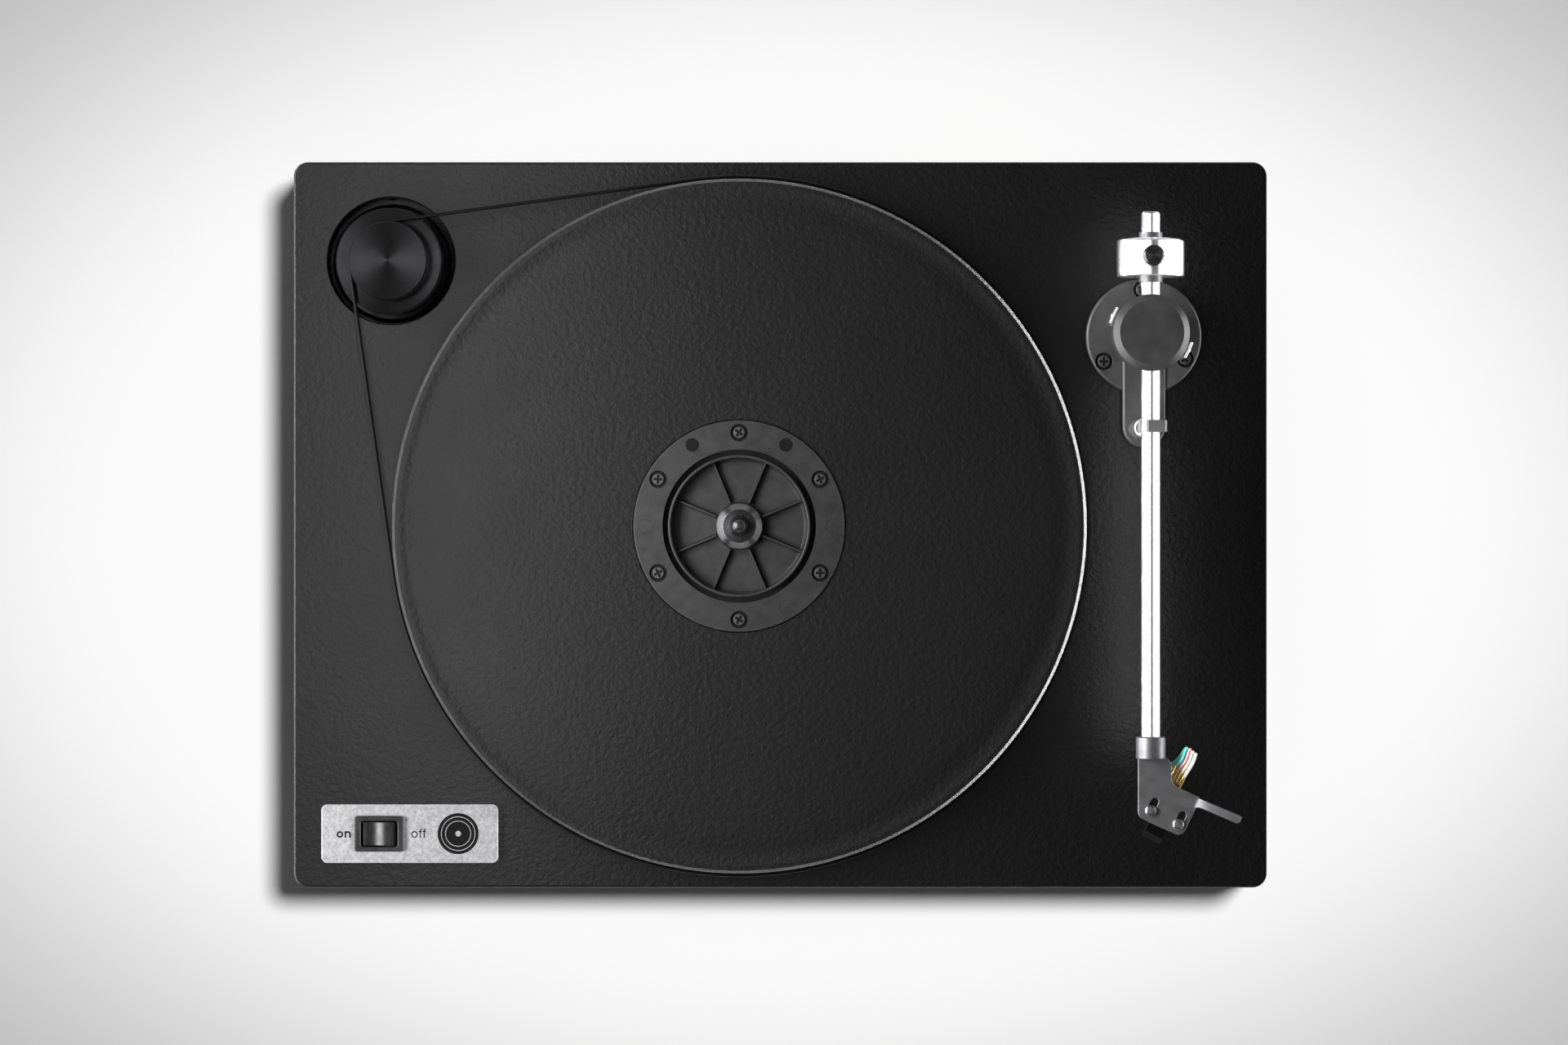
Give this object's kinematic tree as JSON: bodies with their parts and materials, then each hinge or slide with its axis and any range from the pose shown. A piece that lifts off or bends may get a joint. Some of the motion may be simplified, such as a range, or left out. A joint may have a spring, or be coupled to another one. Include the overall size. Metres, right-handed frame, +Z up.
{
  "type": "turntable record player",
  "caption": "Belt-drive turntable with a black slab plinth, round platter with moulded hub, motor pulley in a well, straight tonearm with counterweight, and rocker switch.",
  "frame": {"origin": "on the surface the player stands on, under the middle of the plinth", "axes": "+X to the right along the front edge, +Y to the back, +Z up"},
  "size_m": [0.413, 0.308, 0.1062],
  "materials": {
    "painted_board": "satin black paint on fibreboard",
    "moulded_black": "moulded satin black",
    "rocker_black": "glossy black",
    "cartridge_black": "glossy black",
    "soft_rubber": "matt black rubber",
    "belt_rubber": "dark rubber cord",
    "plate_aluminium": "brushed silver",
    "black_anodised": "turned and black anodised",
    "motor_steel": "plain steel",
    "bearing_steel": "turned steel",
    "dark_steel": "blackened steel",
    "bush_brass": "bearing bronze",
    "bright_steel": "polished",
    "tube_aluminium": "polished",
    "shell_alloy": "satin grey anodised",
    "sleeve_grey": "satin grey",
    "knob_black": "turned, black anodised",
    "cantilever_metal": "plain",
    "lead_insulation": "coloured wire insulation",
    "gold_plated": "gold plated",
    "board_green": "coated circuit board",
    "lead_black": "black lead"
  },
  "bodies": {
    "chassis": {"plinth": "painted_board", "bottom_cover": "moulded_black", "foot_1": "soft_rubber", "foot_2": "soft_rubber", "foot_3": "soft_rubber", "foot_4": "soft_rubber", "switch_plate": "plate_aluminium", "switch_housing": "moulded_black", "motor_body": "motor_steel", "motor_bracket": "motor_steel", "motor_grommet_1": "soft_rubber", "motor_grommet_2": "soft_rubber", "motor_grommet_3": "soft_rubber", "drive_belt": "belt_rubber", "bearing_housing": "bearing_steel", "bearing_bush": "bush_brass", "thrust_ball": "bearing_steel", "bearing_nut": "bearing_steel", "arm_base": "moulded_black", "arm_base_screw_1": "dark_steel", "arm_base_screw_2": "dark_steel", "arm_base_screw_3": "dark_steel", "arm_rest_post": "bright_steel", "arm_clip": "moulded_black", "rca_jack_left": "gold_plated", "rca_jack_right": "gold_plated", "power_jack": "moulded_black", "connector_panel": "moulded_black", "connector_board": "board_green", "connector_cover": "moulded_black", "power_wiring": "lead_black"},
    "platter": {"platter": "painted_board", "platter_hub": "moulded_black", "hub_screw_1": "dark_steel", "hub_screw_2": "dark_steel", "hub_screw_3": "dark_steel", "hub_screw_4": "dark_steel", "hub_screw_5": "dark_steel", "hub_screw_6": "dark_steel", "spindle": "dark_steel"},
    "pulley": {"motor_pulley": "black_anodised", "motor_shaft": "bearing_steel"},
    "rocker": {"switch_rocker": "rocker_black"},
    "yoke": {"arm_yoke": "bright_steel", "arm_post": "bearing_steel", "pivot_pin_1": "bearing_steel", "pivot_pin_2": "bearing_steel"},
    "arm": {"pivot_housing": "moulded_black", "arm_tube": "tube_aluminium", "headshell": "shell_alloy", "cartridge_screw_1": "bright_steel", "cartridge_screw_2": "bright_steel", "cartridge_body": "cartridge_black", "stylus_holder": "cartridge_black", "cantilever": "cantilever_metal", "cartridge_leads": "lead_insulation"},
    "counterweight": {"counterweight": "bright_steel", "counterweight_sleeve": "sleeve_grey"},
    "thumb_screw": {"thumb_screw": "knob_black"}
  },
  "joints": [
    {"name": "platter_spin", "type": "hinge", "parent": "chassis", "child": "platter", "pos_m": [-0.0172, -0.0005, 0.0455], "axis": [0, 0, 1], "continuous": true},
    {"name": "pulley_spin", "type": "hinge", "parent": "chassis", "child": "pulley", "pos_m": [-0.1652, 0.1114, 0.0445], "axis": [0, 0, 1], "continuous": true},
    {"name": "switch_rock", "type": "hinge", "parent": "chassis", "child": "rocker", "pos_m": [-0.17, -0.131, 0.0406], "axis": [0, 1, 0], "range_deg": [0, 28]},
    {"name": "arm_swing", "type": "hinge", "parent": "chassis", "child": "yoke", "pos_m": [0.154, 0.0798, 0.086], "axis": [0, 0, -1], "range_deg": [0, 50]},
    {"name": "arm_lift", "type": "hinge", "parent": "yoke", "child": "arm", "pos_m": [0.154, 0.0798, 0.086], "axis": [-0.9063, 0.4226, 0], "range_deg": [0, 7]},
    {"name": "counterweight_slide", "type": "slide", "parent": "arm", "child": "counterweight", "axis": [0, 1, 0], "range_m": [-0.004, 0.008]},
    {"name": "thumb_screw_turn", "type": "hinge", "parent": "counterweight", "child": "thumb_screw", "pos_m": [0.154, 0.1112, 0.1], "axis": [0, 0, 1], "range_deg": [0, 180]}
  ],
  "couplings": [
    {"joint": "pulley_spin", "follows": "platter_spin", "ratio": 9}
  ]
}
